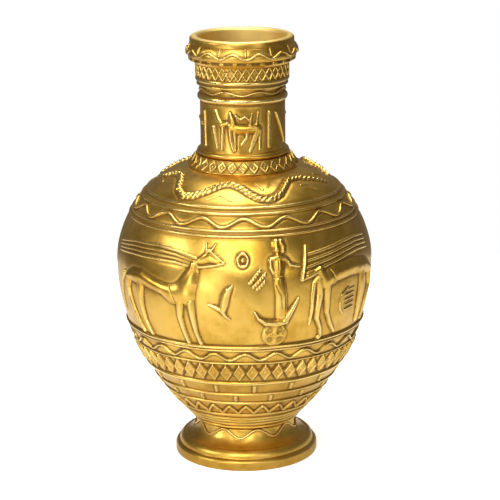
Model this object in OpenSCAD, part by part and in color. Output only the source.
// Tall brass kalash pot with relief figures: a spun body on a pedestal foot,
// with cast and wire ornament laid on its outer wall.
// Millimetres, +Z up, the origin at the middle of the foot's bottom face.
// Places on the wall are given as [angle, height]: angle 0 faces the front, -Y,
// and grows towards the right, +X.

/* [Body] */
// Height from the floor to the underside of the lower bowl
bowl_z = 34; // [33:0.5:36]
// Height of the body, from the bowl's underside to the shoulder's top
body_h = 210; // [200:1:220]
// Greatest radius of the belly
belly_r = 104.5; // [100:0.5:110]
// Thickness of the spun sheet
wall_t = 2; // [1.6:0.1:2.4]

/* [Neck and mouth] */
// Outer radius of the plain neck
neck_r = 34.4; // [34:0.1:35]
// Outer radius of the neck's widened top end
neck_top_r = 37; // [36.8:0.1:37.4]
// Height of the neck tube above the shoulder's top
neck_h = 84.6; // [80:0.2:88]
// Height of the rim, from the neck tube's end to the lip's top
rim_h = 21.4; // [21:0.1:22]
// Radius of the mouth's bore
mouth_r = 35.4; // [35.2:0.1:35.6]
// Outer radius of the lip
lip_r = 42; // [41:0.1:43]

/* [Foot] */
// Radius of the foot's skirt
foot_r = 59; // [56:0.5:62]
// Radius of the foot's waist
waist_r = 40.3; // [39:0.1:42]
// Height of the foot itself, under the waist ring
foot_h = 31; // [30:0.5:31]

/* [Ornament] */
// How far the figures stand out of the wall
figure_lift = 2.4; // [1.8:0.1:3]
// How far the laid wires stand out of the wall
wire_lift = 1.2; // [0.8:0.1:1.6]
// Diamonds round the belly
diamond_count = 54; // [40:1:60]
// Lozenges round the neck collar
lozenge_count = 30; // [24:1:42]
// Waves in the shoulder wire
shoulder_waves = 16; // [12:1:20]
// Waves in the belly wire
belly_waves = 24; // [16:1:26]
// Points in the bowl's zigzag wire
zigzag_count = 30; // [24:1:36]

/* [Hidden] */
$fn = 64;
sink = 0.5;             // how deep laid ornament sits in the wall
curve_steps = 12;       // straight runs in each half of the body's outline
shoulder_z = bowl_z + body_h;
neck_top_z = shoulder_z + neck_h;
pot_h = neck_top_z + rim_h;
equator_z = bowl_z + 134;
seam_u = 0.4;           // place of the bowl's seam along the outline
groove_u = 1.4;         // place of the shoulder's seam along the outline
shoulder_top_r = 44;
bowl_base_r = 44;
lap_step = 0.05;        // reach of each soldered seam's lap along the outline
lap_t = 1.2;
lap_root = 0.4;         // how deep a lap is rooted in its own sheet
collar_foot_r = 44.7;
collar_top_r = 38.2;
collar_z = shoulder_z + 0.6;
collar_h = 9.4;
torus_r = 2.6;
stud_r = 4;
washer_r = 11;
washer_t = 1.6;
nut_r = 7.5;
nut_h = 6.5;
plate_t = 2.5;
skirt_h = 8;

// ---- The wall that everything follows -------------------------------------

// Point of a cubic curve through its four control points, t from 0 to 1
function curve(p, t) = let(s = 1 - t)
    s * s * s * p[0] + 3 * s * s * t * p[1] + 3 * s * t * t * p[2] + t * t * t * p[3];
// Outward normal of a curve that runs upward
function across(a, b) = let(d = (b - a) / norm(b - a)) [d.y, -d.x];

// The body's outline, [radius, height]: bowl_base to equator, then equator to shoulder top
lower_curve = [[bowl_base_r, bowl_z], [82, bowl_z + 38], [belly_r, equator_z - 50],
    [belly_r, equator_z]];
upper_curve = [[belly_r, equator_z], [belly_r, equator_z + 30], [77, shoulder_z - 2.5],
    [shoulder_top_r, shoulder_z]];
function body(u) = u < 1 ? curve(lower_curve, u) : curve(upper_curve, u - 1);
function body_inside(u, t) = let(h = 0.002, a = max(u - h, 0), b = min(u + h, 2))
    body(u) - t * across(body(a), body(b));
// The outline between two places, stepped evenly
function run(u0, u1, n) = [for (i = [0 : n]) u0 + (u1 - u0) * i / n];

// The foot's flare, from its moulding up to the waist
flare_curve = [[50, 16], [44, 18.5], [waist_r + 0.2, 24], [waist_r, foot_h]];

// Wall radius at any height, for what is laid on it
foot_table = [for (i = [0 : 6]) let(p = curve(flare_curve, i / 6)) [p.y, p.x]];
body_table = [for (u = run(0, 2, 48)) let(p = body(u)) [p.y, p.x]];
neck_table = [[collar_z, collar_foot_r], [collar_z + collar_h, collar_top_r],
    [collar_z + collar_h + 1, neck_r], [neck_top_z - 18.6, neck_r],
    [neck_top_z - 15.6, neck_top_r], [neck_top_z, neck_top_r]];
rim_table = [[neck_top_z + 4, 43.4], [neck_top_z + 8.4, 44.6], [neck_top_z + 12.4, 43.8],
    [neck_top_z + 16, lip_r], [pot_h, lip_r]];
wall_table = concat(foot_table, body_table, neck_table, rim_table);
function wall_r(z) = lookup(z, wall_table);
function wall_tilt(z) = atan2(wall_r(z - 1) - wall_r(z + 1), 2);
// Place on the wall, lifted off it
function at(a, z, lift = 0) = let(r = wall_r(z) + lift) [r * sin(a), -r * cos(a), z];

// ---- Building blocks ------------------------------------------------------

module brass() { color("goldenrod") children(); }
module old_brass() { color("darkgoldenrod") children(); }
module bright_brass() { color("gold") children(); }
module steel() { color("silver") children(); }

// Spun sheet between two places on the outline
module spun_sheet(u0, u1) {
    places = run(u0, u1, curve_steps);
    outside = [for (u = places) body(u)];
    inside = [for (i = [curve_steps : -1 : 0]) body_inside(places[i], wall_t)];
    rotate_extrude() polygon(concat(outside, inside));
}

// Lap strip behind the seam at u: it grows out of the sheet on one side (u - step)
// and lies against the inside of the next sheet (u + step)
module seam_lap(u, step) {
    rotate_extrude()
        polygon([body_inside(u - step, wall_t - lap_root), body_inside(u, wall_t - lap_root),
            body_inside(u, wall_t), body_inside(u + step, wall_t),
            body_inside(u + step, wall_t + lap_t), body_inside(u - step, wall_t + lap_t)]);
}

// Round ring of half-round wire on the wall, its middle at height z
module wire_ring(z, half, lift = wire_lift) {
    r = wall_r(z);
    low = wall_r(z - half);
    high = wall_r(z + half);
    rotate_extrude()
        polygon([[low - sink, z - half], [low, z - half], [r + lift, z - half / 2],
            [r + lift, z + half / 2], [high, z + half], [high - sink, z + half]]);
}

// Closed wire that runs round the wall at the heights given by rise(angle)
module wave_wire(rise, steps, half, lift = wire_lift) {
    section = [[-half, -sink], [-half / 2, lift], [half / 2, lift], [half, -sink]];
    count = len(section);
    points = [for (i = [0 : steps - 1]) for (s = section)
        let(a = 360 * i / steps) at(a, rise(a) + s.x, s.y)];
    corner = function(i, k) (i % steps) * count + k % count;
    faces = [for (i = [0 : steps - 1]) for (k = [0 : count - 1])
        each [[corner(i, k), corner(i, k + 1), corner(i + 1, k)],
            [corner(i + 1, k), corner(i, k + 1), corner(i + 1, k + 1)]]];
    polyhedron(points, faces);
}

// One bead of a limb, lying on the wall: place is [angle, height, half width]
module bead(place, lift) {
    sides = place[2] > 3.5 ? 8 : 6;
    translate(at(place[0], place[1], 0))
        rotate([0, 90 - wall_tilt(place[1]), place[0] - 90])
            translate([0, 0, -sink])
                cylinder(h = lift + sink, r1 = place[2], r2 = place[2] * 0.6, $fn = sides);
}

// A raised limb on the wall, drawn from bead to bead
module limb(beads, lift = figure_lift) {
    for (i = [1 : len(beads) - 1])
        hull() {
            bead(beads[i - 1], lift);
            bead(beads[i], lift);
        }
}

// Upright bar on the wall
module tick_bar(a, z0, z1, half, lift = wire_lift) {
    hull() {
        bead([a, z0 + half, half], lift);
        bead([a, z1 - half, half], lift);
    }
}

// Pyramid stud with four corners in the wall
module lozenge(a, z, wide, high, lift) {
    points = [at(a - wide, z, -sink), at(a, z - high, -sink), at(a + wide, z, -sink),
        at(a, z + high, -sink), at(a, z, lift)];
    polyhedron(points, [[0, 1, 4], [1, 2, 4], [2, 3, 4], [3, 0, 4], [1, 0, 2], [2, 0, 3]]);
}

module front() { children(); }
module back() { rotate([0, 0, 180]) children(); }
module both_sides() {
    front() children();
    back() children();
}

// ---- Foot -----------------------------------------------------------------

module foot() {
    flare = [for (i = [0 : 6]) curve(flare_curve, i / 6)];
    inner_flare = [for (i = [0 : 6]) curve(flare_curve, i / 6) - [wall_t + 0.5, 1.2]];
    brass() difference() {
        rotate_extrude() polygon(concat(
            [[foot_r - 4, 0], [foot_r - 1, 0], [foot_r, 1], [foot_r, skirt_h - 1],
                [foot_r - 1.5, skirt_h + 1.2], [foot_r - 3.2, skirt_h + 1.2],
                [foot_r - 3.6, skirt_h + 3.4], [foot_r - 5.4, skirt_h + 6],
                [foot_r - 7, skirt_h + 7.6], [foot_r - 8.4, skirt_h + 7.6]],
            flare,
            [[0, foot_h], [0, foot_h - plate_t]],
            [[waist_r - wall_t - 0.5, foot_h - plate_t]],
            [for (i = [5 : -1 : 0]) inner_flare[i]],
            [[foot_r - 10, skirt_h + 4], [foot_r - 4, skirt_h - 2]]));
        translate([0, 0, foot_h - plate_t - 1]) cylinder(h = plate_t + 2, r = stud_r);
    }
}

module foot_wave_wire() {
    old_brass() wave_wire(function(a) 25.6 + 3.2 * cos(9 * (a - 13)), 108, 1.1, 1);
}

module waist_ring() {
    brass() rotate_extrude() polygon([[stud_r, foot_h], [42.5, foot_h], [44.6, foot_h + 0.8],
        [44.6, bowl_z - 0.8], [43.6, bowl_z], [stud_r, bowl_z]]);
}

module foot_stud() {
    brass() translate([0, 0, foot_h - plate_t - washer_t - nut_h - 1.5])
        cylinder(h = bowl_z - foot_h + plate_t + washer_t + nut_h + 1.5, r = stud_r);
}

module foot_washer() {
    steel() translate([0, 0, foot_h - plate_t - washer_t]) difference() {
        cylinder(h = washer_t, r = washer_r);
        translate([0, 0, -1]) cylinder(h = washer_t + 2, r = stud_r);
    }
}

module foot_nut() {
    steel() translate([0, 0, foot_h - plate_t - washer_t - nut_h]) difference() {
        cylinder(h = nut_h, r = nut_r, $fn = 6);
        translate([0, 0, -1]) cylinder(h = nut_h + 2, r = stud_r, $fn = 64);
    }
}

// ---- Lower bowl -----------------------------------------------------------

module lower_bowl() {
    brass() {
        spun_sheet(0, seam_u);
        seam_lap(seam_u, lap_step);
        translate([0, 0, bowl_z]) cylinder(h = plate_t, r = bowl_base_r - 0.5);
    }
}

module bowl_base_rings() {
    bright_brass() for (z = [36.4, 40.1, 43.2, 48.2]) wire_ring(z, 1);
}

module zigzag_wire() {
    old_brass() wave_wire(function(a) 54.7
        + 3.7 * (abs((a * zigzag_count / 180 + 1) % 2 - 1) * 2 - 1), zigzag_count * 2, 1.3);
}

module bowl_middle_rings() {
    bright_brass() for (z = [62.2, 71.9]) wire_ring(z, 1);
}

module lower_tick_bars() {
    bright_brass() for (i = [0 : 15]) tick_bar(-6.5 + 22.5 * i, 64, 70.2, 1.5);
}

module upper_tick_bars() {
    bright_brass() for (i = [0 : 15]) tick_bar(5 + 22.5 * i, 73.6, 81.2, 1.6);
}

module bowl_seam_ring() {
    bright_brass() wire_ring(body(seam_u).y, 1.6, 1.6);
}

// ---- Belly ----------------------------------------------------------------

module belly_shell() {
    brass() spun_sheet(seam_u, groove_u);
}

module diamond_band() {
    old_brass() for (i = [0 : diamond_count - 1])
        lozenge(360 * (i + 0.5) / diamond_count, 94.4, 176 / diamond_count, 7.8, 2.4);
}

module belly_rings() {
    bright_brass() for (z = [103.2, 115.2]) wire_ring(z, 0.9, 1);
}

module belly_wave_wire() {
    old_brass() wave_wire(function(a) 109.3 + 2.8 * cos(belly_waves * a),
        belly_waves * 6, 1.2);
}

module frieze_base_ring() {
    bright_brass() wire_ring(118, 1.5, 1.6);
}

// The stag's horns sweep back over its body in four long bars
module stag() {
    limb([[-9, 187.5, 1.3], [-13, 188.4, 2.8], [-17, 191, 4.6], [-21, 187, 4.4],
        [-23, 179, 5.8], [-26, 168, 8]]);
    limb([[-18, 192, 1.2], [-17.4, 202, 0.9]]);
    limb([[-16, 191, 1.2], [-13.4, 199.4, 0.9]]);
    limb([[-27, 161.4, 9.6], [-36, 161.6, 6.4], [-44, 165, 5.4], [-54, 168, 6.4],
        [-61, 166, 4]]);
    limb([[-29.4, 153, 3.4], [-29.6, 140, 2.5], [-27, 121.5, 2]]);
    limb([[-24.6, 153, 3.2], [-23.6, 144, 2.4], [-22.6, 131, 2], [-20.8, 121.5, 1.8]]);
    limb([[-52.4, 164, 4], [-52.4, 146, 2.6], [-51.4, 134, 2.2], [-48.6, 121.5, 1.9]]);
    limb([[-62, 163, 3.8], [-62.8, 149, 2.5], [-59.6, 135, 2.1], [-54.6, 121.5, 1.9]]);
    limb([[-66, 166, 2], [-70.6, 157.6, 1.4], [-71.6, 132, 1]]);
    for (drop = [0 : 3])
        limb([[-22, 190 - 2 * drop, 1.2], [-43, 195.6 - 3.4 * drop, 1.2],
            [-60, 193.4 - 3.2 * drop, 1.2], [-74, 188.6 - 2.6 * drop, 1]], figure_lift * 0.6);
}
module stag_front() { old_brass() front() stag(); }
module stag_back() { old_brass() back() stag(); }

module sun_rings() {
    old_brass() both_sides()
        limb([for (t = [0 : 45 : 360]) [-0.6 + 2.4 * sin(t), 190 + 5.6 * cos(t), 1.2]], 1.4);
}

module bird_reliefs() {
    old_brass() both_sides() {
        limb([[-5.4, 170.6, 1], [-7.4, 166, 3], [-8.8, 157, 3.5], [-9.6, 150, 2.4]], 1.8);
        limb([[-9.6, 150, 2.2], [-8.4, 145.8, 1.6], [-6.3, 143, 0.8]], 1.8);
        limb([[-15.8, 154.6, 1], [-13, 152.8, 1.7], [-9.8, 150.2, 2]], 1.7);
    }
}

module grain_marks() {
    old_brass() both_sides()
        for (mark = [[4.5, 177.4, 9.4], [6.4, 174.4, 9.6], [7, 170.6, 6]])
            limb([[mark.x + mark.z / 4, mark.y + mark.z / 2, 1.4],
                [mark.x - mark.z / 4, mark.y - mark.z / 2, 1.6]], 1.8);
}

// Standing figure in a long plain robe, seen from its left side
module figure() {
    limb([[15, 200.5, 3.6], [14.6, 197.8, 3]]);
    limb([[17, 201.5, 2.6], [16.8, 196, 1.6]]);
    limb([[14.9, 196, 1.5], [15, 191.5, 1.8]]);
    limb([[11.9, 189.8, 2.2], [15, 190.2, 2.7], [18.4, 189.6, 2.2]]);
    limb([[15, 188, 5.4], [14.7, 179, 4], [15, 172, 4.8], [15.8, 160, 4.6],
        [15.9, 145.6, 4.7]]);
    limb([[11.4, 189.6, 1.9], [11.8, 181, 1.7], [16.4, 181, 1.4]]);
    limb([[18.9, 189.4, 1.9], [20.4, 185, 1.6], [24.6, 183, 1.3]]);
}
module figure_front() { old_brass() front() figure(); }
module figure_back() { old_brass() back() figure(); }

// Horned ox head that carries a wheel with a cross
module ox_wheel() {
    limb([[4.4, 148.8, 1], [6.4, 143, 2], [9.6, 139, 2.7]]);
    limb([[23.5, 158.4, 1], [21.4, 150.4, 2.1], [18, 140.6, 2.9]]);
    limb([[9.4, 139.4, 2.7], [13.4, 138.2, 3.2], [17.8, 139.4, 2.7]]);
    limb([for (t = [0 : 36 : 360]) [13.3 + 4.6 * sin(t), 128.6 + 8.2 * cos(t), 2]]);
    limb([[13.3, 136, 1.5], [13.3, 121, 1.5]], 2);
    limb([[9, 128.6, 1.5], [17.6, 128.6, 1.5]], 2);
}
module ox_wheel_front() { old_brass() front() ox_wheel(); }
module ox_wheel_back() { old_brass() back() ox_wheel(); }

// Bull that faces the figure, with its horns swept back over it
module bull() {
    limb([[29, 197, 0.9], [27.6, 186, 1.8], [25.4, 172.6, 1.6], [30, 174.5, 2],
        [35, 177, 3]]);
    limb([[34, 176, 3.4], [36, 168, 6.4], [43, 173, 6.8], [54, 174, 6.6], [66, 170, 6.4],
        [72, 165, 4.6]]);
    limb([[34.6, 174, 1.8], [31.2, 168, 1.7], [30.6, 146, 1.5], [29.8, 135, 1.2]]);
    limb([[34, 170, 3], [34.4, 158, 2.8], [33.4, 141, 2.3], [36, 130, 1.9], [37.4, 121.5, 1.7]]);
    limb([[38, 166, 3.6], [38.4, 156, 2.8], [38.8, 141, 2.2], [44.6, 124, 1.7]]);
    limb([[64, 168, 4], [63, 158, 3.2], [62.4, 143, 2.4], [62.9, 124, 1.8]]);
    limb([[72, 164, 3.4], [73.6, 150, 2.6], [71, 136, 2.1], [70, 123, 1.8]]);
    for (drop = [0 : 3])
        limb([[28.6, 190 - 4.6 * drop, 1.2], [44, 192.6 - 3.6 * drop, 1.2],
            [58, 195 - 3.4 * drop, 1.2], [71, 193 - 3.4 * drop, 1]], figure_lift * 0.6);
}
module bull_front() { old_brass() front() bull(); }
module bull_back() { old_brass() back() bull(); }

module comb_reliefs() {
    old_brass() both_sides() {
        limb([[52, 157, 1], [47.4, 151, 1.2], [47, 143, 1.2], [49, 137, 1]], 1.6);
        for (z = [139 : 4 : 155])
            limb([[50.6, z, 1], [56.6, z, 1]], 1.2);
    }
}

// ---- Shoulder -------------------------------------------------------------

module shoulder_shell() {
    brass() difference() {
        union() {
            spun_sheet(groove_u, 2);
            seam_lap(groove_u, -lap_step);
            translate([0, 0, shoulder_z - 3.6]) cylinder(h = 3.4, r = shoulder_top_r);
        }
        translate([0, 0, shoulder_z - 10]) cylinder(h = 20, r = neck_r);
    }
}

module shoulder_seam_ring() {
    bright_brass() {
        wire_ring(body(groove_u).y - 0.4, 0.9, 1);
        wire_ring(body(groove_u).y + 3.4, 0.9, 1);
    }
}

module shoulder_wave_wire() {
    old_brass() wave_wire(function(a) 215.8 + 2.9 * cos(shoulder_waves * a),
        shoulder_waves * 8, 1.1, 1.4);
}

module shoulder_rings() {
    bright_brass() for (z = [221.9, 226]) wire_ring(z, 0.7, 1.2);
}

// Two snakes wind round the shoulder, head to tail
module snake() {
    limb([[-88, 234, 1], [-76, 240, 2.2], [-62, 241.6, 2.6], [-52, 237, 2.8],
        [-44, 231.4, 2.9], [-34, 231.6, 2.9], [-24, 236.4, 2.9], [-14, 240.4, 2.9],
        [-5, 239.4, 2.9], [3, 235.6, 2.9], [10, 231.6, 2.9], [19, 231.2, 2.8],
        [27, 235.4, 2.7], [36, 240.6, 2.5], [48, 240.8, 2.3], [60, 238.4, 2], [74, 233, 1.2]],
        2);
}
module snake_front() { old_brass() front() snake(); }
module snake_back() { old_brass() back() snake(); }

module shoulder_marks() {
    old_brass() both_sides() {
        limb([[-23.5, 230.4, 0.8], [-15.4, 234, 1], [-7.8, 230.4, 0.8]], 1);
        limb([[8.8, 240.6, 0.8], [13.8, 237, 1], [21, 240.8, 0.8]], 1);
        limb([[44, 236.6, 0.8], [50, 236, 1], [55.4, 231.6, 0.8]], 1);
        limb([[70, 239.6, 0.8], [75, 238, 0.9]], 1);
        limb([[-79, 236, 0.8], [-73, 235, 0.9]], 1);
    }
}

// ---- Neck -----------------------------------------------------------------

module neck_collar() {
    brass() rotate_extrude() polygon([[neck_r, shoulder_z - 0.2],
        [shoulder_top_r, shoulder_z - 0.2], [collar_foot_r, collar_z],
        [collar_foot_r - 0.4, collar_z + 1], [collar_top_r, collar_z + collar_h],
        [neck_r, collar_z + collar_h]]);
}

module collar_lozenges() {
    old_brass() for (i = [0 : lozenge_count - 1])
        lozenge(360 * i / lozenge_count, collar_z + 4.8, 172 / lozenge_count, 4.2, 1.2);
}

module neck_tube() {
    brass() rotate_extrude() polygon([[neck_r - wall_t, shoulder_z - 8],
        [neck_r + 4, shoulder_z - 8], [neck_r + 4, shoulder_z - 3.6],
        [neck_r, shoulder_z - 3.6], [neck_r, neck_top_z - 18.6],
        [neck_top_r, neck_top_z - 15.6], [neck_top_r, neck_top_z],
        [neck_top_r - 1.4, neck_top_z], [neck_top_r - wall_t, neck_top_z - 15.6],
        [neck_r - wall_t, neck_top_z - 18.6]]);
}

module neck_base_ring() {
    bright_brass() rotate_extrude() translate([neck_r, collar_z + collar_h + torus_r])
        intersection() {
            circle(r = torus_r + 0.4);
            translate([0, -torus_r]) square([8, 2 * torus_r]);
        }
}

// Small animals and posts in a row round the plain part of the neck
module neck_animals() {
    old_brass() both_sides() {
        limb([[-16, 292, 1], [-14.6, 286, 1.6], [-13, 281, 2.4], [0, 279.6, 3], [16, 280, 3.2],
            [20, 279, 3]], 1.4);
        limb([[18, 282, 1], [20.6, 292.6, 0.8]], 1.4);
        limb([[10, 283, 0.9], [12.2, 291.6, 0.7]], 1.4);
        limb([[-17, 281, 1.6], [-16, 270, 1.4], [-12.6, 262.6, 1.2]], 1.4);
        limb([[-11, 280, 1.5], [-10.4, 272, 1.2], [-9.6, 263, 1]], 1.4);
        limb([[6, 279, 1.2], [4.4, 272, 1.1], [-1.6, 267, 0.8]], 1.4);
        limb([[20, 279, 2], [15, 270, 1.5], [9.8, 262.4, 1.2]], 1.4);
        limb([[23.8, 278, 1.2], [23, 263.4, 1]], 1.4);
        limb([[-9, 290.6, 0.8], [-3, 287.6, 0.9], [3, 289.4, 0.9], [9, 286.8, 0.8]], 1);
        limb([[-38.6, 293, 1], [-31, 284, 1.4], [-22, 284.4, 1.8]], 1.4);
        limb([[-42.4, 279, 1.3], [-36.4, 263.4, 1.1]], 1.4);
        limb([[-28, 282, 1.4], [-29, 263.4, 1.1]], 1.4);
        limb([[38.4, 291, 1.2], [37.6, 264, 1.2]], 1.4);
        limb([[52, 289, 1.2], [58.4, 281, 1.4], [70, 266, 1.1]], 1.4);
        limb([[-62, 290, 1.2], [-60, 264, 1.2]], 1.4);
        limb([[-78, 284, 1.6], [-66, 282, 1.8]], 1.4);
    }
}

module neck_bead_ring() {
    bright_brass() wire_ring(301.3, 2.8, 2);
}

module neck_wave_wire() {
    old_brass() wave_wire(function(a) 307.4 + 1.3 * cos(8 * (a - 22)), 96, 0.9, 1);
}

module neck_rings() {
    bright_brass() {
        wire_ring(311.9, 0.9, 1);
        wire_ring(316, 1.7, 0.8);
    }
}

module neck_lattice() {
    old_brass() for (i = [0 : 35])
        lozenge(10 * i, neck_top_z - 5.4, 4.4, 4.6, 0.8);
}

// ---- Rim ------------------------------------------------------------------

module dentil_ring() {
    old_brass() difference() {
        rotate_extrude() polygon([[mouth_r, neck_top_z], [39, neck_top_z],
            [40.6, neck_top_z + 2.2], [43.2, neck_top_z + 3], [43.4, neck_top_z + 5],
            [mouth_r, neck_top_z + 5]]);
        for (i = [0 : 23])
            rotate([0, 0, 15 * i]) translate([42, -3.6, neck_top_z + 2.6])
                cube([3, 7.2, 3]);
    }
}

module rim_collar() {
    brass() rotate_extrude() polygon([[mouth_r + wall_t, neck_top_z + 5],
        [43.4, neck_top_z + 5], [44.6, neck_top_z + 8.4], [44.4, neck_top_z + 10.6],
        [43.6, neck_top_z + 13], [lip_r + 0.2, pot_h - 5.4],
        [mouth_r + wall_t, pot_h - 5.4]]);
}

module rim_wave_wire() {
    bright_brass() wave_wire(function(a) neck_top_z + 9.9 + 2 * cos(13 * (a - 17.8)),
        104, 0.9, 1);
}

module rim_tick_bars() {
    bright_brass() for (i = [0 : 12])
        tick_bar(3.5 + 360 * i / 13, neck_top_z + 9.8, neck_top_z + 16, 0.85, 0.9);
}

module mouth_lip() {
    brass() rotate_extrude() polygon([[mouth_r, neck_top_z + 5],
        [mouth_r + wall_t, neck_top_z + 5], [mouth_r + wall_t, pot_h - 5.4],
        [lip_r + 0.2, pot_h - 5.4], [lip_r, pot_h - 1.4], [lip_r - 1.4, pot_h],
        [mouth_r + 1.4, pot_h], [mouth_r, pot_h - 1.4]]);
}

foot();
foot_wave_wire();
foot_stud();
foot_washer();
foot_nut();
waist_ring();
lower_bowl();
bowl_base_rings();
zigzag_wire();
bowl_middle_rings();
lower_tick_bars();
upper_tick_bars();
bowl_seam_ring();
belly_shell();
diamond_band();
belly_rings();
belly_wave_wire();
frieze_base_ring();
stag_front();
stag_back();
sun_rings();
bird_reliefs();
grain_marks();
figure_front();
figure_back();
ox_wheel_front();
ox_wheel_back();
bull_front();
bull_back();
comb_reliefs();
shoulder_seam_ring();
shoulder_shell();
shoulder_wave_wire();
shoulder_rings();
snake_front();
snake_back();
shoulder_marks();
neck_collar();
collar_lozenges();
neck_tube();
neck_base_ring();
neck_animals();
neck_bead_ring();
neck_wave_wire();
neck_rings();
neck_lattice();
dentil_ring();
rim_collar();
rim_wave_wire();
rim_tick_bars();
mouth_lip();
